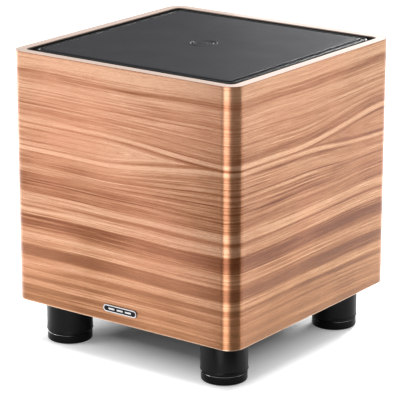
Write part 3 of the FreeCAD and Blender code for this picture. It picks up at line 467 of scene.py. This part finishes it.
def circuit_mask():
    """Green solder mask over a maze of tracks, with pale pads."""
    tree = Tree("circuit_green")
    x, y, z = tree.split(tree.place)
    cells = tree.node("ShaderNodeTexVoronoi", feature="F1", distance="CHEBYCHEV")
    tree.put(cells.inputs["Vector"], tree.join(x, 0.0, z))
    cells.inputs["Scale"].default_value = 160.0
    tracks = tree.span(cells.outputs["Distance"], 0.30, 0.34, 0.0, 1.0)
    pads = tree.span(tree.cells(tree.join(x, 0.0, z), 210.0), 0.10, 0.13, 1.0, 0.0)
    colour = tree.mix(tracks, (0.010, 0.110, 0.045), (0.020, 0.190, 0.080))
    colour = tree.mix(pads, colour, (0.60, 0.58, 0.50))
    return tree.finish(colour, 0.35, tree.bump(tree.math("MAXIMUM", tracks, pads), 0.0001, 0.5))


def clear(name, colour, glow=0.0):
    """Tinted clear plastic or glass, with faint flow lines."""
    tree = Tree(name)
    flow = tree.noise(tree.place, 300.0, 2.0)
    tinted = tree.mix(tree.math("MULTIPLY", flow, 0.3), colour, tuple(c * 0.7 for c in colour))
    tree.set(Transmission_Weight=0.7, IOR=1.49, Emission_Color=(*colour, 1), Emission_Strength=glow)
    return tree.finish(tinted, tree.span(flow, 0.3, 0.7, 0.05, 0.12), tree.bump(flow, 0.00002, 0.4))


def finishes():
    """One material for each material slot of the record."""
    low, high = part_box("toroidal_transformer")
    return {
        "walnut_veneer": veneer(),
        "walnut_lipping": lipping(),
        "fibreboard": fibreboard(),
        "black_painted_board": speckled("black_painted_board", (0.013, 0.013, 0.014), 0.62, 700.0, 0.00008),
        "black_leather": leather("black_leather", (0.009, 0.009, 0.012), (0.014, 0.014, 0.018), 0.38, 0.14),
        "leather_piping": leather("leather_piping", (0.003, 0.003, 0.003), (0.005, 0.005, 0.005),
                                  0.30, 0.10),
        "polished_metal": enamelled_badge(),
        "foot_black": turned_black(),
        "foot_ring_black": bevelled_black(),
        "black_rubber": speckled("black_rubber", (0.018, 0.018, 0.019), 0.62, 1400.0, 0.00005),
        "zinc_steel": brushed("zinc_steel", (0.36, 0.36, 0.35), 0.32),
        "black_steel": speckled("black_steel", (0.030, 0.030, 0.033), 0.34, 900.0, 0.00002, metallic=0.6),
        "basket_black": speckled("basket_black", (0.020, 0.020, 0.022), 0.45, 1100.0, 0.00010),
        "cone_black": pressed_fibre(),
        "spider_cloth": woven("spider_cloth", (0.60, 0.42, 0.20), (0.28, 0.17, 0.07), 0.0011),
        "coil_former": speckled("coil_former", (0.45, 0.24, 0.07), 0.28, 600.0, 0.00002, coat=0.4),
        "copper": wound("copper", (0.72, 0.33, 0.17), 0.0006),
        "ferrite": speckled("ferrite", (0.055, 0.055, 0.060), 0.50, 500.0, 0.00006, metallic=0.3),
        "amp_black": speckled("amp_black", (0.016, 0.016, 0.018), 0.42, 1500.0, 0.00006, metallic=0.4),
        "circuit_green": circuit_mask(),
        "capacitor_sleeve": speckled("capacitor_sleeve", (0.02, 0.03, 0.10), 0.25, 500.0, 0.00002,
                                     coat=0.4),
        "transformer_wrap": wrapped_tape((low + high) / 2),
        "knob_black": speckled("knob_black", (0.014, 0.014, 0.015), 0.40, 1300.0, 0.00003),
        "black_plastic": speckled("black_plastic", (0.016, 0.016, 0.017), 0.46, 1000.0, 0.00006),
        "gold_plate": polished("gold_plate", (0.86, 0.60, 0.24), 0.14),
        "white_plastic": speckled("white_plastic", (0.66, 0.66, 0.64), 0.38, 900.0, 0.00003,
                                  variation=0.06),
        "lamp_lens": clear("lamp_lens", (0.10, 0.75, 0.25), glow=0.6),
        "fuse_glass": clear("fuse_glass", (0.88, 0.92, 0.92)),
        "lead_black": speckled("lead_black", (0.020, 0.020, 0.021), 0.45, 1200.0, 0.00003),
    }


# ---------------------------------------------------------------- meshes

def piece(name, points, faces, slot, smooth=True):
    """A new object from points in metres and faces, with outward normals."""
    mesh = bpy.data.meshes.new(name)
    mesh.from_pydata([tuple(p) for p in points], [], faces)
    mesh.validate()
    made = bpy.data.objects.new(name, mesh)
    bpy.context.scene.collection.objects.link(made)
    work = bmesh.new()
    work.from_mesh(mesh)
    bmesh.ops.recalc_face_normals(work, faces=work.faces)
    work.to_mesh(mesh)
    work.free()
    for polygon in mesh.polygons:
        polygon.use_smooth = smooth
    mesh.materials.append(materials[slot])
    return made


def loft(rings, closed=False):
    """Quads between rings of equal length. A closed loft also joins the last ring to the first."""
    count = len(rings[0])
    points = [p for ring in rings for p in ring]
    faces = []
    steps = len(rings) if closed else len(rings) - 1
    for i in range(steps):
        a = i * count
        b = ((i + 1) % len(rings)) * count
        for j in range(count):
            k = (j + 1) % count
            faces.append((a + j, a + k, b + k, b + j))
    return points, faces


def circle(radius, z, count):
    return [Vector((radius * math.cos(math.tau * i / count), radius * math.sin(math.tau * i / count), z))
            for i in range(count)]


def rounded_square(half, corner, z, per_side):
    """Ring of points: each side has per_side points on its straight part and per_side on its corner."""
    ring = []
    flat = half - corner
    for quarter in range(4):
        turn = Matrix.Rotation(quarter * math.pi / 2, 3, "Z")
        for i in range(per_side):
            ring.append(turn @ Vector((half, -flat + 2 * flat * i / per_side, z)))
        for i in range(per_side):
            a = math.pi / 2 * i / per_side
            ring.append(turn @ Vector((flat + corner * math.cos(a), flat + corner * math.sin(a), z)))
    return ring


def turned(name, profile, slot, count=128):
    """Solid turned about the Z axis from a closed outline of (radius, z)."""
    points, faces = loft([circle(r, z, count) for r, z in profile], closed=True)
    return piece(name, points, faces, slot)


def arc(cx, cz, r, start, end, count):
    """Points of an arc in the (radius, z) plane, angles in degrees."""
    return [(cx + r * math.cos(math.radians(start + (end - start) * i / count)),
             cz + r * math.sin(math.radians(start + (end - start) * i / count))) for i in range(count + 1)]


# ---------------------------------------------------------------- leather top

def medallion(r):
    """Height of the pressed medallion at a radius from the centre: two ridges round a shallow dish."""
    ridge = 0.60 * MM * math.exp(-((r - 16.0 * MM) / (1.0 * MM)) ** 2)
    ridge += 0.45 * MM * math.exp(-((r - 11.5 * MM) / (0.8 * MM)) ** 2)
    trough = -0.40 * MM * math.exp(-((r - 13.8 * MM) / (0.9 * MM)) ** 2)
    boss = 0.45 * MM / (1 + math.exp((r - 5.0 * MM) / (0.4 * MM)))
    dish = -0.30 * MM * math.exp(-((r - 7.5 * MM) / (1.3 * MM)) ** 2)
    return ridge + trough + boss + dish


def make_leather_top():
    """The wrapped top panel: a piped edge and sunk seam round a crowned field with a medallion."""
    low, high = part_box("leather_cover")
    half = high.x
    top = high.z
    corner = 12 * MM
    per_side = 24
    bead = 2.3 * MM

    def ring(inset, z):
        return rounded_square(half - inset, max(corner - inset, 2.5 * MM), z, per_side)

    wall = [ring(0.4 * MM, z)
            for z in (low.z, low.z + 2 * MM, low.z + 9 * MM, top - 6 * MM, top - 3.2 * MM)]
    wall += [ring(0.2 * MM + inset, z) for inset, z in arc(bead, top - bead, bead, 180, 20, 12)]
    wall += [ring(5.4 * MM, top - SEAM_DEPTH), ring(9.2 * MM, top - SEAM_DEPTH)]
    points, faces = loft(wall)
    edge = piece("leather_edge", points, faces, "leather_piping")
    thicken(edge)
    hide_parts("leather_cover")
    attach(edge, "cabinet")

    lift = 0.5 * MM
    shoulder = 1.6 * MM
    start = 8.2 * MM
    rings = [ring(start, top - SEAM_DEPTH - 0.3 * MM)]
    rings += [ring(inset, z + lift)
              for inset, z in arc(start + shoulder, top - shoulder, shoulder, 170, 90, 6)]
    crown = 0.3 * MM
    field = half - start - shoulder
    core = 22 * MM
    steps = 16
    count = len(rings[0])
    spokes = [Vector((p.x, p.y, 0)).normalized() for p in rings[-1]]

    def level(r):
        return top + lift + crown * (1 - (r / field) ** 2)

    for i in range(1, steps + 1):
        share = i / steps
        reach = field + (core - field) * share
        square = rounded_square(reach, max(2.5 * MM, reach * share), 0, per_side)
        blend = share ** 2
        rings.append([Vector((*(s.xy * (1 - blend) + d.xy * reach * blend), level(reach)))
                      for s, d in zip(square, spokes)])
    inner = 1.0 * MM
    turns = 58
    for i in range(1, turns + 1):
        r = core + (inner - core) * i / turns
        rings.append([Vector((*(d.xy * r), level(r) + medallion(r))) for d in spokes])
    points, faces = loft(rings)
    faces.append(tuple(len(points) - count + i for i in range(count)))
    cover = piece("leather_field", points, faces, "black_leather")
    thicken(cover)
    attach(cover, "cabinet")


def thicken(made):
    """Gives an open skin the thickness of leather, inwards."""
    shell = made.modifiers.new("thickness", "SOLIDIFY")
    shell.thickness = LEATHER_THICKNESS
    shell.offset = -1
    apply_modifiers(made)


def apply_modifiers(made):
    """Bakes an object's modifiers into its mesh."""
    evaluated = made.evaluated_get(bpy.context.evaluated_depsgraph_get())
    mesh = bpy.data.meshes.new_from_object(evaluated)
    made.modifiers.clear()
    made.data = mesh
    for polygon in mesh.polygons:
        polygon.use_smooth = True


# ---------------------------------------------------------------- drive unit's soft parts

def make_surround():
    """Half-roll rubber in two rings that meet at the crest, spanning from the frame to the cone."""
    low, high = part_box("surround")
    outer_lip = high.x
    thick = 1.2 * MM
    roll = 9.0 * MM
    crest_r = 83.0 * MM
    base = high.z - thick / 2
    inner_lip = crest_r - roll - 4.0 * MM
    spans = (("surround_outer", 1, outer_lip), ("surround_inner", -1, inner_lip))
    for name, way, lip in spans:
        centre = [(crest_r + way * roll * math.cos(math.radians(a)),
                   base - roll * math.sin(math.radians(a))) for a in range(90, -1, -6)]
        centre.append((crest_r + way * (roll + 1.2 * MM), base))
        centre.append((lip, base))
        outline = ribbon(centre, thick)
        made = turned(name, outline, "black_rubber", 160)
        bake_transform(made)
        if way > 0:
            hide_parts("surround")


def ribbon(centre, thick):
    """Closed outline of a strip of even thickness along a centre line."""
    left = []
    right = []
    for i, here in enumerate(centre):
        before = centre[max(i - 1, 0)]
        after = centre[min(i + 1, len(centre) - 1)]
        along = Vector((after[0] - before[0], after[1] - before[1])).normalized()
        side = Vector((-along.y, along.x)) * thick / 2
        left.append((here[0] + side.x, here[1] + side.y))
        right.append((here[0] - side.x, here[1] - side.y))
    return left + right[::-1]


def make_spider():
    """Corrugated cloth disc in six equal sectors."""
    low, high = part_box("spider")
    inner, outer = 25.45 * MM, high.x
    level = (low.z + high.z) / 2
    wave = 1.0 * MM
    thick = 0.7 * MM
    start_r, end_r = 29 * MM, 52 * MM
    sectors = 6
    across = 16
    radii = [inner + (outer - inner) * i / 72 for i in range(73)]
    profile = []
    for r in radii:
        share = min(max((r - start_r) / (end_r - start_r), 0), 1)
        fade = math.sin(share * math.pi) ** 0.4
        profile.append((r, level + wave * math.sin(share * 3 * math.tau) * fade))
    outline = ribbon(profile, thick)
    for k in range(sectors):
        rings = []
        for j in range(across + 1):
            a = math.tau * (k + j / across) / sectors
            rings.append([Vector((r * math.cos(a), r * math.sin(a), z)) for r, z in outline])
        points, faces = loft(rings)
        count = len(outline)
        faces += [tuple(range(count)), tuple(len(points) - count + i for i in range(count))]
        made = piece("spider_sector_%d" % (k + 1), points, faces, "spider_cloth")
        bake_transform(made)
        if k == 0:
            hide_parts("spider")


def spline_tube(name, route, radius, slot):
    """Mesh tube along a smooth line through a short route, with round ends."""
    curve = bpy.data.curves.new(name, "CURVE")
    curve.dimensions = "3D"
    curve.bevel_depth = radius
    curve.bevel_resolution = 4
    curve.resolution_u = 10
    curve.use_fill_caps = True
    spline = curve.splines.new("NURBS")
    spline.points.add(len(route) - 1)
    for point, place in zip(spline.points, route):
        point.co = (*place, 1)
    spline.order_u = 3
    spline.use_endpoint_u = True
    holder = bpy.data.objects.new(name + "_line", curve)
    bpy.context.scene.collection.objects.link(holder)
    mesh = bpy.data.meshes.new_from_object(holder.evaluated_get(bpy.context.evaluated_depsgraph_get()))
    bpy.data.objects.remove(holder)
    made = bpy.data.objects.new(name, mesh)
    bpy.context.scene.collection.objects.link(made)
    mesh.materials.clear()
    mesh.materials.append(materials[slot])
    for polygon in mesh.polygons:
        polygon.use_smooth = True
    return made


def make_leads():
    """Tinsel leads from the terminal strip to the coil, and the twin lead from the amplifier."""
    angle = math.radians(135)
    out = Vector((math.cos(angle), math.sin(angle), 0))
    aside = Vector((-math.sin(angle), math.cos(angle), 0))
    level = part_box("driver_basket")[0].z + 46.5 * MM
    for name, side in (("tinsel_lead_left", -1), ("tinsel_lead_right", 1)):
        route = [out * r * MM + aside * side * s * MM + Vector((0, 0, level + h * MM)) for r, s, h in (
            (64, 6.5, 6.2), (55, 6.2, 6.2), (44, 5.6, 4.4), (34, 5.0, 5.0), (25.7, 4.4, 7.4))]
        lead = spline_tube(name, route, 0.6 * MM, "copper")
        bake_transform(lead)
        if side < 0:
            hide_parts("tinsel_leads")
    board_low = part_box("circuit_board")[0]
    x, y, z = -60 * MM, board_low.y, board_low.z + 16 * MM
    end = out * 80 * MM + Vector((0, 0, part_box("driver_basket")[0].z + 63.5 * MM))
    middle = [Vector((x + a * MM, y + b * MM, z + c * MM)) for a, b, c in (
        (0, 0, 0), (0, -25, 0), (-3, -44, -18), (-6, -48, -48), (-4, -52, -74))]
    middle += [end + Vector((0, 0, 10 * MM)), end]
    for name, way in (("speaker_lead_plus", 1), ("speaker_lead_minus", -1)):
        core = [p + Vector((1.25 * MM * way, 0, 0)) for p in middle]
        lead = spline_tube(name, core, 1.25 * MM, "lead_black")
        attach(lead, "cabinet")
        if way > 0:
            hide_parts("speaker_lead")


# ---------------------------------------------------------------- marks on the amplifier plate

def bar(points, faces, centre, length, width, height, angle):
    """Adds a low bar on the plate. Angle 0 points up, and it turns about the plate's normal."""
    along = Vector((math.sin(angle), 0, math.cos(angle)))
    side = Vector((math.cos(angle), 0, -math.sin(angle)))
    start = len(points)
    for y, inset in ((0, 0), (height, height * 0.6)):
        for a, b in ((-1, -1), (1, -1), (1, 1), (-1, 1)):
            points.append(centre + along * a * (length / 2 - inset) + side * b * (width / 2 - inset)
                          + AXIS_Y * y)
    faces.append(tuple(start + i for i in (0, 1, 2, 3)))
    faces.append(tuple(start + i for i in (7, 6, 5, 4)))
    for i in range(4):
        j = (i + 1) % 4
        faces.append((start + i, start + j, start + 4 + j, start + 4 + i))


def make_dial_marks():
    """Printed tick marks: eleven round each knob, two beside the phase switch."""
    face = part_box("amp_plate")[1].y
    points = []
    faces = []
    for knob in ("level_knob", "crossover_knob"):
        low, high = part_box(knob)
        centre = (low + high) / 2
        radius = (high.x - low.x) / 2
        for i in range(11):
            a = math.radians(-150 + 30 * i)
            long = i in (0, 5, 10)
            reach = radius + (3.6 if long else 3.0) * MM
            place = Vector((centre.x + reach * math.sin(a), face - MARK_SUNK,
                            centre.z + reach * math.cos(a)))
            bar(points, faces, place, (3.2 if long else 2.0) * MM, MARK_WIDTH, MARK_HEIGHT, a)
    low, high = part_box("phase_switch_body")
    for x in (low.x + 6 * MM, high.x - 6 * MM):
        place = Vector((x, face - MARK_SUNK, high.z + 2.5 * MM))
        bar(points, faces, place, 2.2 * MM, MARK_WIDTH, MARK_HEIGHT, 0)
    made = piece("dial_marks", points, faces, "white_plastic", smooth=False)
    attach(made, "cabinet")


def make_knob_lines():
    """White inlay along the ridge of each knob, so its setting can be read."""
    for knob, body in (("level_knob", "level_control"), ("crossover_knob", "crossover_control")):
        low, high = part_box(knob)
        centre_x = (low.x + high.x) / 2
        points = []
        faces = []
        bar(points, faces, Vector((centre_x, high.y - 0.05 * MM, high.z - 4.2 * MM)), 5.2 * MM, 0.7 * MM,
            0.15 * MM, 0)
        made = piece(knob + "_line", points, faces, "white_plastic", smooth=False)
        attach(made, body)


# ---------------------------------------------------------------- light, floor, camera

def area_light(name, place, target, size, power):
    data = bpy.data.lights.new(name, "AREA")
    data.shape = "RECTANGLE"
    data.size, data.size_y = size
    data.energy = power
    light = bpy.data.objects.new(name, data)
    bpy.context.scene.collection.objects.link(light)
    light.location = place
    light.rotation_mode = "QUATERNION"
    light.rotation_quaternion = (Vector(target) - Vector(place)).to_track_quat("-Z", "Y")


def reflector(name, start, end, foot, strength):
    """Card that only glossy surfaces see: upright between two places, with a strip along the floor."""
    mesh = bpy.data.meshes.new(name)
    near = [tuple(Vector(foot).lerp(Vector(p), CARD_REACH)) for p in (start, end)]
    points = [(*start, CARD_LIFT), (*end, CARD_LIFT), (*end, CARD_HEIGHT), (*start, CARD_HEIGHT),
              (*near[1], CARD_LIFT), (*near[0], CARD_LIFT)]
    mesh.from_pydata(points, [], [(0, 1, 2, 3), (0, 5, 4, 1)])
    card = bpy.data.objects.new(name, mesh)
    bpy.context.scene.collection.objects.link(card)
    tree = Tree(name)
    tree.set(Base_Color=(0, 0, 0, 1), Roughness=1.0, Specular_IOR_Level=0.0,
             Emission_Color=WHITE, Emission_Strength=strength)
    mesh.materials.append(tree.material)
    card.visible_camera = False
    card.visible_diffuse = False
    card.visible_shadow = False
    card.visible_transmission = False


def make_floor():
    """White paper that glows a little outside the cabinet's footprint, and more far out."""
    reach = 9.0
    mesh = bpy.data.meshes.new("floor")
    mesh.from_pydata([(-reach, -reach, 0), (reach, -reach, 0), (reach, reach, 0), (-reach, reach, 0)], [],
                     [(0, 1, 2, 3)])
    floor = bpy.data.objects.new("floor", mesh)
    bpy.context.scene.collection.objects.link(floor)
    tree = Tree("floor_paper")
    cloud = tree.noise(tree.place, 3.0, 2.0)
    colour = tree.ramp(cloud, [(0.3, (0.90, 0.90, 0.90)), (0.7, (0.93, 0.93, 0.93))])
    x, y, z = tree.split(tree.place)
    edge = tree.math("MAXIMUM", tree.math("ABSOLUTE", x), tree.math("ABSOLUTE", y))
    near_glow = tree.span(edge, 0.075, 0.165, 0.0, 0.55)
    far_glow = tree.span(edge, 1.5, 2.6, 0.0, 0.4)
    tree.set(Emission_Color=WHITE)
    tree.put(tree.shader.inputs["Emission Strength"], tree.math("ADD", near_glow, far_glow))
    mesh.materials.append(tree.finish(colour, 0.7))


def make_world():
    """White to the camera, and dimmer as a source of light."""
    world = bpy.data.worlds.new("studio")
    world.use_nodes = True
    nodes = world.node_tree.nodes
    back = nodes["Background"]
    back.inputs["Color"].default_value = WHITE
    seen = nodes.new("ShaderNodeLightPath")
    strength = nodes.new("ShaderNodeMapRange")
    strength.inputs["To Min"].default_value = AMBIENT
    strength.inputs["To Max"].default_value = 1.0
    world.node_tree.links.new(seen.outputs["Is Camera Ray"], strength.inputs["Value"])
    world.node_tree.links.new(strength.outputs[0], back.inputs["Strength"])
    bpy.context.scene.world = world
    bpy.context.scene.view_settings.view_transform = "Standard"


def make_lights():
    """Overheads, two keys and two lights behind, with cards for the gloss of corners and feet."""
    area_light("overhead", (0, 1.0, 3.2), (0, 1.0, 0), (8.0, 8.0), 160)
    area_light("overhead_near", (0, 0.1, 3.0), (0, 0.1, 0), (2.6, 2.6), 105)
    area_light("key_left", (-1.2, -1.3, 0.9), (-0.1, 0, 0.2), (0.9, 0.9), 14)
    area_light("key_right", (2.2, 0.7, 1.0), (0, 0, 0.2), (1.2, 1.2), 3)
    area_light("back", (-0.25, 1.35, 0.62), (0, 0, 0.35), (1.2, 0.35), 1.0)
    area_light("glint", (-0.15, 1.3, 0.75), (0, 0, 0.35), (0.45, 0.35), 16)
    right_foot = (0.15, -0.15)
    reflector("dark_card", (0.44, -0.60), (0.64, 0.08), right_foot, 0.0)
    reflector("bright_card", (0.05, -0.62), (0.33, -0.62), right_foot, 5.4)
    reflector("front_flag", (-0.215, -0.62), (0.03, -0.62), right_foot, 0.0)
    reflector("left_card", (-0.64, -0.27), (-0.45, 0.25), (-0.15, -0.15), 3.4)


def make_camera():
    """Long lens, looking down from the front right."""
    data = bpy.data.cameras.new("camera")
    data.sensor_width = 36.0
    data.lens = 198.0
    data.clip_end = 50.0
    camera = bpy.data.objects.new("camera", data)
    bpy.context.scene.collection.objects.link(camera)
    yaw, pitch = 0.637, 0.291
    back = Vector((math.sin(yaw) * math.cos(pitch), -math.cos(yaw) * math.cos(pitch), math.sin(pitch)))
    camera.location = (1.4918, -2.0226, 0.9180)
    camera.rotation_mode = "QUATERNION"
    camera.rotation_quaternion = (-back).to_track_quat("-Z", "Y")
    bpy.context.scene.camera = camera


# ---------------------------------------------------------------- build

def dress_nodes():
    """Gives every CAD node the material of its slot."""
    for row in frame["record"]["subparts"]:
        node = frame["nodes"][row["node"]]
        node.data.materials.clear()
        node.data.materials.append(materials[row["material_slot"]])


make_camera()
materials = finishes()
dress_nodes()
make_leather_top()
make_surround()
make_spider()
make_leads()
make_dial_marks()
make_knob_lines()
make_floor()
make_world()
make_lights()
